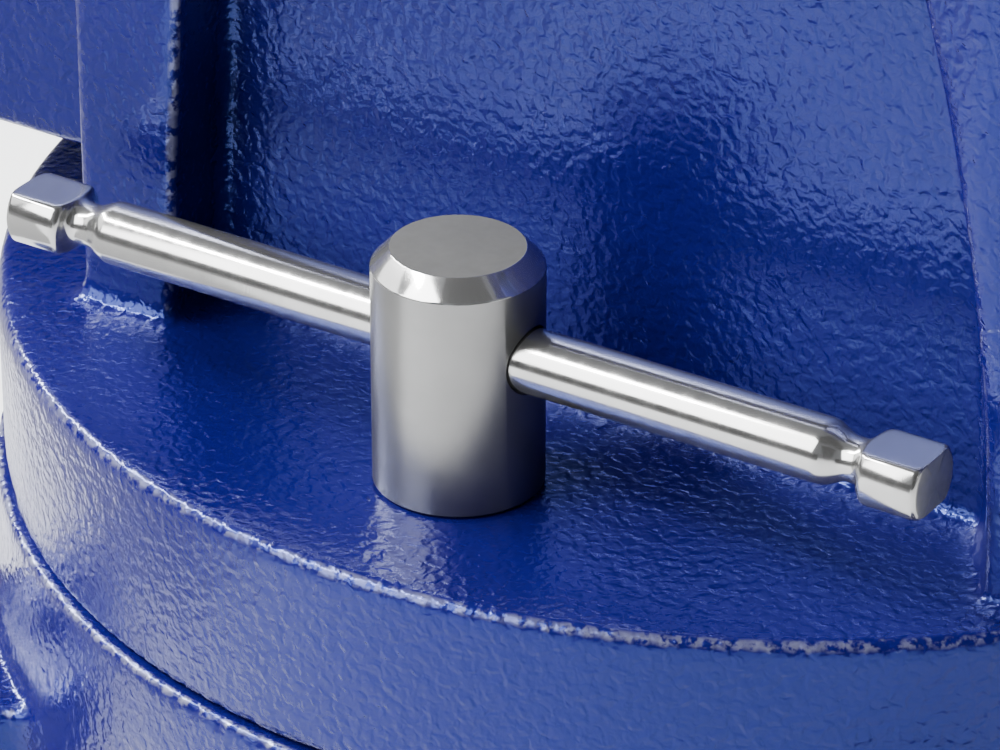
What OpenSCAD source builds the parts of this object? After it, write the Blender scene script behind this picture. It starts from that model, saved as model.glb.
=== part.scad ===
// Bench vise with 150 mm jaws on a swivel base.
// Z = 0 is the bench top and the Z axis is the axis the vise swivels on.
// +X is the front, where the handle is, and left is -Y.

/* [Swivel base] */
// Radius of the base ring at the bench
ring_foot_r = 110.5; // [109.5:0.5:112]
// Radius of the base ring at its top edge
ring_top_r = 108.5; // [107.5:0.5:109]
// Height of the base ring
base_h = 36; // [34:1:38]
// Thickness of the bench ears
ear_t = 14; // [12:1:16]
// Half the width of a bench ear
ear_half_w = 19.8; // [18:0.1:21]
// Pitch circle diameter of the bench bolt holes
bench_pcd = 254; // [250:1:260]
// Diameter of a bench bolt hole
bench_hole_d = 13; // [11:0.5:14]

/* [Turntable and body] */
// Radius of the turntable disc
disc_r = 107.2; // [106.5:0.1:107.5]
// Height of the turntable's top face above the bench
disc_top = 64; // [62:1:66]
// Half the body's width at the recessed flank
flank_y = 54; // [50:1:56]
// Half the body's width at the rear rib
rib_y = 65.5; // [64:0.5:67]
// Half the body's width at the front buttress
buttress_y = 70; // [68:0.5:70.5]
// Height at which the rear housing starts
housing_bottom = 79; // [77:1:80]
// Height of the body's top behind the jaw
housing_top = 166; // [164:1:170]
// Rear end of the housing
housing_rear_x = -165; // [-172:1:-160]

/* [Jaws] */
// Width of the jaws
jaw_w = 150; // [146:1:152]
// Height of the jaws' top above the bench
jaw_top = 240; // [238:1:244]
// Thickness of a jaw plate
plate_t = 12; // [10:1:13]
// Height of a jaw plate
plate_h = 26.5; // [24:0.5:27]
// Gap between the closed jaw plates
closed_gap = 0.5; // [0.4:0.1:1]

/* [Slide beam and screw] */
// Width of the slide beam
beam_w = 64; // [60:1:66]
// Height of the screw's axis above the bench
screw_z = 116; // [115:0.5:117]
// Radius of the main screw
screw_r = 12; // [11:0.5:12]
// Radius of the handle bar
handle_r = 8; // [7:0.5:9]
// Half the length of the handle bar between its knobs
handle_half = 124; // [110:1:135]

/* [Turntable lock] */
// Distance of a lock bolt from the swivel axis
lock_y = 79.1; // [78.8:0.1:79.4]
// Radius of a lock bolt's head
lock_head_r = 11; // [10.5:0.1:11.2]
// Height of a lock bolt's head
lock_head_h = 32.8; // [30:0.1:35]
// Height of the lock bar's axis above the turntable
lock_bar_h = 20; // [19:0.5:22]
// Radius of the lock bar
lock_bar_r = 4.2; // [3.8:0.1:4.3]
// Half the length of the lock bar
lock_bar_half = 67.7; // [65:0.1:68]

/* [Hidden] */
$fn = 96;

// Clearances
run_fit = 0.06;
face_gap = 0.1;
slide_gap = 0.4;
eps = 0.01;

// Base: round T-slot, hub and pivot
disc_gap = 0.3;
disc_edge = 0.8;
slot_half_w = 9.2;
chamber_half_w = 17;
chamber_floor = 9;
lip_bottom = 24;
notch_w = 42;
spigot_r = 20;
hub_bore_r = spigot_r + 0.08;
web_bottom = 12.3;
pivot_pocket_r = 30;
pivot_r = 6;
pivot_af = 19;
washer_t = 3;
ear_fillet_r = 6;

// Body outline
body_front_x = 96;
rib_rear_x = -70;
rib_front_x = -55.6;
rib_lean = 4.5;
pocket_top = 148;
pocket_corner_r = 14;
buttress_foot_x = 62;
buttress_arc_r = 252;
// Angles, from the Y axis, at which the buttress opens outwards
flare_angles = [27.8, 41.9];
// Where each of those faces meets the turntable
flare_starts = [[buttress_foot_x, flank_y], [65.8, 61.2]];
tunnel_bottom = 91.6;
tunnel_top = 150.4;
relief_depth = 18;

// Jaws
static_face_x = 100;
dynamic_face_x = static_face_x + closed_gap;
lip_depth = 4;
plate_bottom = jaw_top - 0.5 - plate_h;
lip_h = 7;
throat_bottom = 164;
throat_top = plate_bottom - lip_h;
jaw_half_w = jaw_w / 2;
jaw_flare_z = 188;
screw_pitch_y = 46;
plate_screw_r = 5;
plate_screw_head_r = 10;
plate_screw_l = 30;

// Pipe jaws
pipe_half_w = 28;
pipe_t = 16;
pipe_r = 24;
pipe_depth = 9;
pipe_z = 185;
pipe_half_h = 20;
pipe_screw_y = 17;
pipe_screw_r = 4;
pipe_screw_head_r = 6.5;
pipe_screw_head_h = 4;

// Slide beam, nut and screw
beam_bottom = 92;
beam_top = 150;
beam_rear_x = -150;
beam_wall = 11;
beam_roof = 12;
nose_x = 196;
boss_x = 204;
boss_r = 30;
wall_x = 170;
screw_rear_x = -145;
nut_x = [10, 70];
nut_half_w = 17;
nut_foot_x = -26;
nut_foot_top = 103;
nut_screw_x = [-19, -4];
nut_screw_r = 4;
nut_screw_head_r = 6.5;
nut_screw_head_h = 5;
flange_r = 20;
flange_t = 6;
head_r = 17;
head_l = 38;
handle_x = 231;
thrust_t = 2;
inner_washer_t = 4;
collar_x = 132;
collar_t = 14;
collar_r = 18;
pin_r = 2.5;
spring_x = [collar_x + collar_t, wall_x - inner_washer_t - 0.2];
spring_r = 15.4;
wire_r = 1.6;
spring_turns = 4;
knob_r = 14;
knob_stub = 12;
stub_r = 5;

// Turntable lock
bolt_r = 8;
bolt_hole_r = 8.5;
lock_flat_r = 8.6;
lock_chamfer_h = 2.5;
lock_seat = disc_top + face_gap;
bar_z = disc_top + lock_bar_h;
bar_shoulder = 50;
bar_neck = [56, 58];
bar_neck_r = 2.7;
bar_end = 59.5;
bar_end_r = 5.2;
bar_flat = 3.5;
lock_shank_end = 10.6;
t_nut_flange = [26, 36, 10];
t_nut_neck = [15.6, 20];
t_nut_top = 33.5;

enamel = [0.10, 0.18, 0.58];
steel = [0.72, 0.72, 0.74];
dark_steel = [0.42, 0.42, 0.45];
brass = [0.78, 0.62, 0.30];

// ---- shared shapes ----

// A solid drawn in X and Z and centred on Y
module side_outline(width) {
    rotate([90, 0, 0]) linear_extrude(height = width, center = true) children();
}

// A solid drawn in Y and Z that runs from x0 to x1
module front_outline(x0, x1) {
    translate([x0, 0, 0]) rotate([90, 0, 90]) linear_extrude(height = x1 - x0) children();
}

// The children once on each side
module both_sides() {
    children();
    mirror([0, 1, 0]) children();
}

// A round bar on the screw's axis
module on_screw_axis(x0, x1, r) {
    translate([x0, 0, screw_z]) rotate([0, 90, 0]) cylinder(h = x1 - x0, r = r);
}

// A ring on the screw's axis
module ring_on_axis(x0, x1, r_out, r_in) {
    difference() {
        on_screw_axis(x0, x1, r_out);
        on_screw_axis(x0 - 1, x1 + 1, r_in);
    }
}

// A block between two corners
module block(low, high) {
    translate(low) cube(high - low);
}

// ---- swivel base ----

module bench_ear_outline() {
    hole_r = bench_pcd / 2;
    fillet_y = ear_half_w + ear_fillet_r;
    fillet_x = sqrt(pow(ring_foot_r + ear_fillet_r, 2) - fillet_y * fillet_y);
    shrink = ring_foot_r / (ring_foot_r + ear_fillet_r);
    translate([hole_r - 30, -ear_half_w]) square([30, 2 * ear_half_w]);
    translate([hole_r, 0]) circle(r = ear_half_w);
    for (side = [-1, 1]) difference() {
        polygon([[90, 0], [fillet_x * shrink, side * fillet_y * shrink],
            [fillet_x, side * fillet_y], [fillet_x, 0]]);
        translate([fillet_x, side * fillet_y]) circle(r = ear_fillet_r);
    }
}

module swivel_base() {
    color(enamel) difference() {
        union() {
            cylinder(h = base_h, r1 = ring_foot_r, r2 = ring_top_r, $fn = 180);
            for (a = [45:90:315]) rotate(a) linear_extrude(height = ear_t) bench_ear_outline();
        }
        for (a = [45:90:315]) rotate(a) translate([bench_pcd / 2, 0, -1])
            cylinder(h = ear_t + 2, d = bench_hole_d);
        t_slot_ring(chamber_half_w, chamber_floor, lip_bottom);
        t_slot_ring(slot_half_w, lip_bottom - eps, base_h + 1);
        translate([lock_y - chamber_half_w - 1, -notch_w / 2, chamber_floor])
            cube([2 * chamber_half_w + 1, notch_w, base_h]);
        translate([0, 0, -1]) cylinder(h = web_bottom + 1, r = pivot_pocket_r);
        cylinder(h = base_h + 1, r = hub_bore_r);
        translate([0, 0, -1]) difference() {
            cylinder(h = 25, r = 55);
            translate([0, 0, -1]) cylinder(h = 27, r = 36);
        }
    }
}

module t_slot_ring(half_w, z0, z1) {
    translate([0, 0, z0]) difference() {
        cylinder(h = z1 - z0, r = lock_y + half_w, $fn = 180);
        translate([0, 0, -1]) cylinder(h = z1 - z0 + 2, r = lock_y - half_w, $fn = 180);
    }
}

module pivot_bolt() {
    color(steel) difference() {
        union() {
            translate([0, 0, 1.2]) cylinder(h = 7.8, r = pivot_af / sqrt(3), $fn = 6);
            translate([0, 0, 8]) cylinder(h = 42, r = pivot_r);
        }
        translate([0, 0, 0]) cylinder(h = 2.2, r = 4);
    }
}

module pivot_washer() {
    color(steel) translate([0, 0, 9]) difference() {
        cylinder(h = washer_t, r = 26);
        translate([0, 0, -1]) cylinder(h = washer_t + 2, r = pivot_r + 0.3);
    }
}

// ---- body casting ----

// Plan of the pedestal, from the rear rib to the front buttress
module pedestal_plan() {
    half = [[rib_rear_x, rib_y], [40, rib_y], [66, buttress_y], [80, buttress_y],
        [body_front_x, 44]];
    polygon(concat(half, [for (i = [len(half) - 1:-1:0]) [half[i].x, -half[i].y]]));
}

module pedestal() {
    shoulder = housing_top - 16;
    intersection() {
        translate([0, 0, disc_top - 4]) linear_extrude(height = housing_top - disc_top + 4)
            pedestal_plan();
        front_outline(-200, 200) polygon([[-80, 0], [80, 0], [80, shoulder - 10],
            [flank_y, housing_top], [-flank_y, housing_top], [-80, shoulder - 10]]);
    }
}

module rear_housing() {
    intersection() {
        side_outline(2 * flank_y) polygon([[0, housing_bottom],
            [housing_rear_x + 10, housing_bottom], [housing_rear_x, housing_bottom + 6],
            [housing_rear_x, housing_top - 8], [housing_rear_x + 14, housing_top],
            [0, housing_top]]);
        front_outline(-200, 10) polygon([[-flank_y, 0], [flank_y, 0],
            [flank_y, housing_top - 14], [flank_y - 12, housing_top],
            [12 - flank_y, housing_top], [-flank_y, housing_top - 14]]);
    }
}

// The recess in each flank: its rear edge leans, its top corner is round
module pocket_outline() {
    x1 = rib_front_x + rib_lean;
    r = pocket_corner_r;
    corner = [for (a = [180:-15:90]) [x1 + r + r * cos(a), pocket_top - r + r * sin(a)]];
    polygon(concat([[rib_front_x, disc_top]], corner, [[150, pocket_top], [150, disc_top]]));
}

module flank_pocket() {
    intersection() {
        translate([0, -flank_y - 20, 0]) side_outline(40) pocket_outline();
        union() for (i = [0, 1]) {
            r = buttress_arc_r / cos(flare_angles[i]);
            start = flare_starts[i];
            translate([start.x - r / cos(flare_angles[i]), -start.y, disc_top])
                rotate([90, 0, flare_angles[i]])
                    cylinder(h = 400, r = r, center = true, $fn = 360);
        }
    }
}

// Upper jaw of the fixed side, with the ledge for its plate
module static_head() {
    intersection() {
        side_outline(jaw_w) polygon([[4, 160], [30, 172], [56, 222], [60, jaw_top],
            [static_face_x - plate_t, jaw_top],
            [static_face_x - plate_t, plate_bottom], [static_face_x - lip_depth, plate_bottom],
            [static_face_x - lip_depth, throat_top], [static_face_x - plate_t, throat_top],
            [static_face_x - plate_t, throat_bottom], [body_front_x, throat_bottom],
            [body_front_x, 140], [4, 140]]);
        front_outline(-200, 200) jaw_front_outline(rib_y, 152);
    }
}

// Front view of a jaw that widens from a neck to its full width
module jaw_front_outline(neck_half_w, neck_z) {
    polygon([[-neck_half_w, 0], [neck_half_w, 0], [neck_half_w, neck_z],
        [jaw_half_w, jaw_flare_z], [jaw_half_w, 300], [-jaw_half_w, 300],
        [-jaw_half_w, jaw_flare_z], [-neck_half_w, neck_z]]);
}

module anvil() {
    intersection() {
        side_outline(84) polygon([[-98, 150], [-98, 180], [-94, 184], [-26, 184],
            [-18, 160]]);
        front_outline(-110, 0) polygon([[-42, 150], [42, 150], [42, 164], [37, 184],
            [-37, 184], [-42, 164]]);
    }
}

module turntable_disc() {
    bottom = base_h + disc_gap;
    translate([0, 0, bottom]) cylinder(h = disc_top - disc_edge - bottom, r = disc_r, $fn = 180);
    translate([0, 0, disc_top - disc_edge]) cylinder(h = disc_edge, r1 = disc_r,
        r2 = disc_r - disc_edge, $fn = 180);
    translate([0, 0, web_bottom - 0.3]) cylinder(h = disc_top - web_bottom, r = spigot_r);
}

module static_body() {
    color(enamel) difference() {
        union() {
            turntable_disc();
            pedestal();
            rear_housing();
            static_head();
            anvil();
        }
        both_sides() flank_pocket();
        // slide tunnel, with wider cored stretches between its guide lands
        block([housing_rear_x - 1, -beam_w / 2 - slide_gap, tunnel_bottom],
            [body_front_x + 1, beam_w / 2 + slide_gap, tunnel_top]);
        block([-145, -41, 98], [-62, 41, 144]);
        // cored underside of the turntable
        translate([0, 0, base_h]) difference() {
            cylinder(h = relief_depth, r = 64);
            cylinder(h = relief_depth, r = 34);
        }
        both_sides() translate([0, lock_y, base_h])
            cylinder(h = disc_top - base_h + 1, r = bolt_hole_r);
        translate([0, 0, 1]) cylinder(h = 51, r = pivot_r + 0.05);
        // seats and tapped holes
        block([static_face_x - pipe_t, -pipe_half_w, pipe_z - pipe_half_h],
            [static_face_x, pipe_half_w, pipe_z + pipe_half_h]);
        for (x = nut_screw_x) translate([x, 0, 70])
            cylinder(h = 30, r = nut_screw_r + 0.05);
        plate_screw_holes(static_face_x, -1);
        pipe_screw_holes(static_face_x, -1);
    }
}

// ---- jaw plates ----

module plate_screw_places(x, side) {
    for (y = [-screw_pitch_y, screw_pitch_y])
        translate([x, y, plate_bottom + plate_h / 2]) rotate([0, side * 90, 0]) children();
}

module pipe_screw_places(x, side) {
    for (y = [-pipe_screw_y, pipe_screw_y])
        translate([x, y, pipe_z]) rotate([0, side * 90, 0]) children();
}

// Tapped holes for the plate's screws, from the plate's face into the jaw
module plate_screw_holes(x, side) {
    plate_screw_places(x, side) cylinder(h = plate_screw_l + 4, r = plate_screw_r + 0.05);
}

module pipe_screw_holes(x, side) {
    pipe_screw_places(x, side) cylinder(h = 36, r = pipe_screw_r + 0.05);
}

module jaw_plate(x, side) {
    back = x + side * plate_t;
    color(dark_steel) difference() {
        block([min(x, back), -jaw_half_w, plate_bottom],
            [max(x, back), jaw_half_w, plate_bottom + plate_h]);
        plate_screw_places(x, side) translate([0, 0, -1])
            cylinder(h = plate_t + 2, r = plate_screw_r + 0.3);
        plate_screw_places(x, side) translate([0, 0, -1])
            cylinder(h = 2, r = plate_screw_head_r + 0.1);
        plate_screw_places(x, side) translate([0, 0, 1 - eps]) cylinder(h = 5,
            r1 = plate_screw_head_r + 0.1, r2 = plate_screw_r + 0.1);
    }
}

// Countersunk screws, sunk a little below the plate's face
module plate_screws(x, side) {
    color(steel) plate_screw_places(x, side) difference() {
        union() {
            translate([0, 0, 1]) cylinder(h = 5, r1 = plate_screw_head_r, r2 = plate_screw_r);
            translate([0, 0, 5]) cylinder(h = plate_screw_l - 5, r = plate_screw_r);
        }
        cylinder(h = 5, r = 3.6, $fn = 6);
    }
}

// Pipe jaw with a hollow face for round work
module pipe_jaw(x, side) {
    back = x + side * pipe_t;
    color(dark_steel) difference() {
        block([min(x, back), -pipe_half_w, pipe_z - pipe_half_h],
            [max(x, back), pipe_half_w, pipe_z + pipe_half_h]);
        translate([x + side * (pipe_depth - pipe_r), 0, pipe_z]) rotate([90, 0, 0])
            cylinder(h = 100, r = pipe_r, center = true);
        pipe_screw_places(x, side) cylinder(h = pipe_t + 1, r = pipe_screw_r + 0.3);
        pipe_screw_places(x, side) cylinder(h = pipe_depth + pipe_screw_head_h,
            r = pipe_screw_head_r + 0.2);
    }
}

module pipe_screws(x, side) {
    color(steel) pipe_screw_places(x, side) difference() {
        union() {
            translate([0, 0, pipe_depth]) cylinder(h = pipe_screw_head_h,
                r = pipe_screw_head_r);
            translate([0, 0, pipe_depth + 1]) cylinder(h = 24, r = pipe_screw_r);
        }
        translate([0, 0, pipe_depth - 1]) cylinder(h = 3.5, r = 2.9, $fn = 6);
    }
}

module static_jaw_plate() { jaw_plate(static_face_x, -1); }
module static_jaw_screws() { plate_screws(static_face_x, -1); }
module static_pipe_jaw() { pipe_jaw(static_face_x, -1); }
module static_pipe_screws() { pipe_screws(static_face_x, -1); }
module dynamic_jaw_plate() { jaw_plate(dynamic_face_x, 1); }
module dynamic_jaw_screws() { plate_screws(dynamic_face_x, 1); }
module dynamic_pipe_jaw() { pipe_jaw(dynamic_face_x, 1); }
module dynamic_pipe_screws() { pipe_screws(dynamic_face_x, 1); }

// ---- main nut ----

module main_nut() {
    color(dark_steel) difference() {
        union() {
            block([nut_x[0], -nut_half_w, tunnel_bottom], [nut_x[1], nut_half_w, screw_z]);
            on_screw_axis(nut_x[0], nut_x[1], nut_half_w);
            block([nut_foot_x, -nut_half_w, tunnel_bottom],
                [nut_x[0] + 1, nut_half_w, nut_foot_top]);
        }
        on_screw_axis(nut_foot_x - 1, nut_x[1] + 1, screw_r + run_fit);
        for (x = nut_screw_x) {
            translate([x, 0, tunnel_bottom - 1])
                cylinder(h = 20, r = nut_screw_r + 0.3);
            translate([x, 0, nut_foot_top - nut_screw_head_h - 0.5])
                cylinder(h = 10, r = nut_screw_head_r + 0.3);
        }
    }
}

module nut_screws() {
    seat = nut_foot_top - nut_screw_head_h - 0.5;
    color(steel) for (x = nut_screw_x) translate([x, 0, 0]) difference() {
        union() {
            translate([0, 0, 72]) cylinder(h = seat - 71, r = nut_screw_r);
            translate([0, 0, seat]) cylinder(h = nut_screw_head_h, r = nut_screw_head_r);
        }
        translate([0, 0, seat + 2]) cylinder(h = 5, r = 3.5, $fn = 6);
    }
}

// ---- sliding jaw ----

module dynamic_head() {
    intersection() {
        side_outline(jaw_w) polygon([[dynamic_face_x + lip_depth, 88],
            [dynamic_face_x + lip_depth, throat_bottom],
            [dynamic_face_x + plate_t, throat_bottom], [dynamic_face_x + plate_t, throat_top],
            [dynamic_face_x + lip_depth, throat_top], [dynamic_face_x + lip_depth, plate_bottom],
            [dynamic_face_x + plate_t, plate_bottom], [dynamic_face_x + plate_t, jaw_top],
            [140, jaw_top], [145, 222], [166, 168], [nose_x - 8, 152], [nose_x, 144],
            [nose_x, 88]]);
        front_outline(-200, 250) jaw_front_outline(43, 150);
    }
}

module dynamic_jaw() {
    inner = beam_w / 2 - beam_wall;
    color(enamel) difference() {
        union() {
            dynamic_head();
            on_screw_axis(wall_x, boss_x, boss_r);
            block([beam_rear_x, -beam_w / 2, beam_bottom], [120, beam_w / 2, beam_top]);
        }
        block([beam_rear_x - 1, -inner, 60], [wall_x, inner, beam_top - beam_roof]);
        on_screw_axis(wall_x - 1, boss_x + 1, screw_r + run_fit);
        block([dynamic_face_x, -pipe_half_w, pipe_z - pipe_half_h],
            [dynamic_face_x + pipe_t, pipe_half_w, pipe_z + pipe_half_h]);
        plate_screw_holes(dynamic_face_x, 1);
        pipe_screw_holes(dynamic_face_x, 1);
    }
}

// ---- main screw ----

module spindle() {
    flange_x = boss_x + thrust_t + 2 * face_gap;
    head_x = flange_x + flange_t;
    color(steel) difference() {
        union() {
            on_screw_axis(screw_rear_x, head_x, screw_r);
            on_screw_axis(flange_x, head_x, flange_r);
            on_screw_axis(head_x - eps, head_x + head_l - 4, head_r);
            translate([head_x + head_l - 4 - eps, 0, screw_z]) rotate([0, 90, 0])
                cylinder(h = 4, r1 = head_r, r2 = head_r - 5);
        }
        translate([handle_x, 0, screw_z]) rotate([90, 0, 0])
            cylinder(h = 60, r = handle_r + run_fit, center = true);
        translate([collar_x + collar_t / 2, 0, screw_z])
            cylinder(h = 60, r = pin_r + 0.02, center = true);
    }
}

module thrust_washer() {
    color(brass) ring_on_axis(boss_x + face_gap, boss_x + face_gap + thrust_t,
        flange_r + 1, screw_r + 0.2);
}

module retaining_washer() {
    color(steel) ring_on_axis(wall_x - face_gap - inner_washer_t, wall_x - face_gap,
        collar_r, screw_r + 0.2);
}

module spindle_collar() {
    color(dark_steel) difference() {
        ring_on_axis(collar_x, collar_x + collar_t, collar_r, screw_r + 0.05);
        translate([collar_x + collar_t / 2, 0, screw_z])
            cylinder(h = 60, r = pin_r + 0.02, center = true);
    }
}

module collar_pin() {
    color(steel) translate([collar_x + collar_t / 2, 0, screw_z])
        cylinder(h = 2 * collar_r - 1, r = pin_r, center = true);
}

// Coil spring, swept round the screw's axis
module spindle_spring() {
    sides = 8;
    steps = 24 * spring_turns;
    span = spring_x[1] - spring_x[0] - 2 * wire_r - 0.2;
    points = [for (i = [0:steps], j = [0:sides - 1])
        let (turn = 360 * i / 24, around = 360 * j / sides,
            r = spring_r + wire_r * cos(around))
        [spring_x[0] + 0.1 + wire_r + span * i / steps + wire_r * sin(around),
            r * cos(turn), screw_z + r * sin(turn)]];
    walls = [for (i = [0:steps - 1], j = [0:sides - 1])
        let (a = i * sides + j, b = i * sides + (j + 1) % sides)
        [b, a, a + sides, b + sides]];
    caps = [[for (j = [0:sides - 1]) j], [for (j = [sides - 1:-1:0]) steps * sides + j]];
    color(dark_steel) polyhedron(points = points, faces = concat(walls, caps));
}

module handle_bar() {
    color(steel) translate([handle_x, 0, screw_z]) rotate([90, 0, 0]) {
        cylinder(h = 2 * handle_half, r = handle_r, center = true);
        cylinder(h = 2 * (handle_half + knob_stub), r = stub_r, center = true);
    }
}

module handle_knob(side) {
    centre = handle_half + 11;
    color(steel) translate([handle_x, 0, screw_z]) rotate([-side * 90, 0, 0]) difference() {
        intersection() {
            translate([0, 0, centre]) sphere(r = knob_r);
            translate([0, 0, handle_half + 0.02]) cylinder(h = 23.5, r = knob_r);
        }
        cylinder(h = handle_half + knob_stub + 0.5, r = stub_r + 0.05);
    }
}

module handle_knob_left() { handle_knob(-1); }
module handle_knob_right() { handle_knob(1); }

// ---- turntable lock ----

module lock_bolt(side) {
    top = lock_seat + lock_head_h;
    color(steel) translate([0, side * lock_y, 0]) difference() {
        union() {
            translate([0, 0, lock_seat])
                cylinder(h = lock_head_h - lock_chamfer_h, r = lock_head_r);
            translate([0, 0, top - lock_chamfer_h])
                cylinder(h = lock_chamfer_h, r1 = lock_head_r, r2 = lock_flat_r);
            translate([0, 0, lock_shank_end])
                cylinder(h = lock_seat - lock_shank_end + 1, r = bolt_r);
        }
        translate([0, 0, bar_z]) rotate([0, 90, 0])
            cylinder(h = 40, r = lock_bar_r + run_fit, center = true);
    }
}

// Sliding bar, turned to a neck near each end; the ends are flattened top and bottom
module lock_bar(side) {
    color(steel) translate([0, side * lock_y, bar_z]) for (a = [0, 180]) rotate([0, 90, a]) {
        cylinder(h = bar_shoulder, r = lock_bar_r);
        translate([0, 0, bar_shoulder - eps]) cylinder(h = bar_neck[0] - bar_shoulder,
            r1 = lock_bar_r, r2 = bar_neck_r);
        translate([0, 0, bar_neck[0] - 0.5]) cylinder(h = bar_neck[1] - bar_neck[0] + 1,
            r = bar_neck_r);
        intersection() {
            union() {
                translate([0, 0, bar_neck[1]]) cylinder(h = bar_end - bar_neck[1] + eps,
                    r1 = bar_neck_r, r2 = bar_flat);
                translate([0, 0, bar_end]) cylinder(h = lock_bar_half - bar_end,
                    r = bar_end_r);
            }
            cube([2 * bar_flat, 20, 200], center = true);
        }
    }
}

module lock_nut(side) {
    flange_top = lip_bottom - 0.3;
    color(dark_steel) translate([0, side * lock_y, 0]) difference() {
        union() {
            translate([-t_nut_flange.y / 2, -t_nut_flange.x / 2, flange_top - t_nut_flange.z])
                cube([t_nut_flange.y, t_nut_flange.x, t_nut_flange.z]);
            translate([-t_nut_neck.y / 2, -t_nut_neck.x / 2, flange_top - 1])
                cube([t_nut_neck.y, t_nut_neck.x, t_nut_top - flange_top + 1]);
        }
        cylinder(h = 60, r = bolt_r + run_fit);
    }
}

module lock_bolt_left() { lock_bolt(-1); }
module lock_bolt_right() { lock_bolt(1); }
module lock_bar_left() { lock_bar(-1); }
module lock_bar_right() { lock_bar(1); }
module lock_nut_left() { lock_nut(-1); }
module lock_nut_right() { lock_nut(1); }

swivel_base();
static_body();
pivot_bolt();
pivot_washer();
static_jaw_plate();
static_jaw_screws();
static_pipe_jaw();
static_pipe_screws();
main_nut();
nut_screws();
dynamic_jaw();
dynamic_jaw_plate();
dynamic_jaw_screws();
dynamic_pipe_jaw();
dynamic_pipe_screws();
spindle();
thrust_washer();
retaining_washer();
spindle_spring();
spindle_collar();
collar_pin();
handle_bar();
handle_knob_left();
handle_knob_right();
lock_bolt_left();
lock_bolt_right();
lock_bar_left();
lock_bar_right();
lock_nut_left();
lock_nut_right();
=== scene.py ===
import math

import bmesh
import bpy
import numpy as np
from mathutils import Matrix, Vector


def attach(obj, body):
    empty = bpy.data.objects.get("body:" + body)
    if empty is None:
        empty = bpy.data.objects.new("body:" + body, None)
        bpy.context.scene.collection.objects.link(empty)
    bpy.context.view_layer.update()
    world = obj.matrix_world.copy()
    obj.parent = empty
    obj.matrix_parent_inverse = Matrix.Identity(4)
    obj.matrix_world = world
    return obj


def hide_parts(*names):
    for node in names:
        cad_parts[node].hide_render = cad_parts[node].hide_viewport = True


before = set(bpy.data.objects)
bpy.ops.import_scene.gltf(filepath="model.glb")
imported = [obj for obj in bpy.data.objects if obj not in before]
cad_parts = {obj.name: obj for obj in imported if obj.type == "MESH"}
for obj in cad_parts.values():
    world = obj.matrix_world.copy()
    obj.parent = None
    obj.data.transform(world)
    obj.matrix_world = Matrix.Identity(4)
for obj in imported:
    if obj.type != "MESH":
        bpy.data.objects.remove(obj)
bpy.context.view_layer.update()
scene = bpy.context.scene

# ---- swivel base ----
# The round foot that bolts to the bench: grey iron cast in sand, with four ears, a T-slot ring
# for the lock nuts and a bored hub. Its edges are as-cast, so they are softly rounded, and it
# is sprayed with a thick blue enamel that dries with a fine orange peel.


def fasten(piece, body, slot, *nodes):
    """Says which body a piece rides on and hides the CAD nodes it replaces; the slot argument is not used."""
    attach(piece, body)
    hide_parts(*nodes)


def piece_from(name, bm):
    mesh = bpy.data.meshes.new(name)
    bm.to_mesh(mesh)
    bm.free()
    piece = bpy.data.objects.new(name, mesh)
    scene.collection.objects.link(piece)
    return piece


def round_off(corner_a, corner, corner_b, radius, steps=4):
    """Points that round the corner between two lines of a turned profile."""
    a, c, b = Vector(corner_a), Vector(corner), Vector(corner_b)
    u, v = (a - c).normalized(), (b - c).normalized()
    half = u.angle(v) / 2
    reach = radius / math.tan(half)
    centre = c + (u + v).normalized() * (radius / math.sin(half))
    start, end = c + u * reach - centre, c + v * reach - centre
    return [tuple(centre + start.slerp(end, i / steps) * (radius / start.slerp(end, i / steps).length))
            for i in range(steps + 1)]


def turned(bm, profile, place, sides):
    """A turned shape, added to bm: the profile is (distance along the axis, radius) pairs that
    close on the axis or on themselves, and place is a matrix that carries Z to the axis."""
    rings = []
    for along, radius in profile:
        if radius < 1e-7:
            rings.append([bm.verts.new(place @ Vector((0, 0, along)))])
        else:
            rings.append([bm.verts.new(place @ Vector((radius * math.cos(2 * math.pi * i / sides),
                                                       radius * math.sin(2 * math.pi * i / sides), along)))
                          for i in range(sides)])
    for low, high in zip(rings, rings[1:]):
        for i in range(sides):
            j = (i + 1) % sides
            corners = [low[i % len(low)], low[j % len(low)], high[j % len(high)], high[i % len(high)]]
            kept = [v for k, v in enumerate(corners) if v is not corners[k - 1]]
            if len(kept) > 2:
                bm.faces.new(kept)
    return bm


def shading(mesh, angle=35):
    mesh.shade_smooth()
    mesh.set_sharp_from_angle(angle=math.radians(angle))


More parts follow.
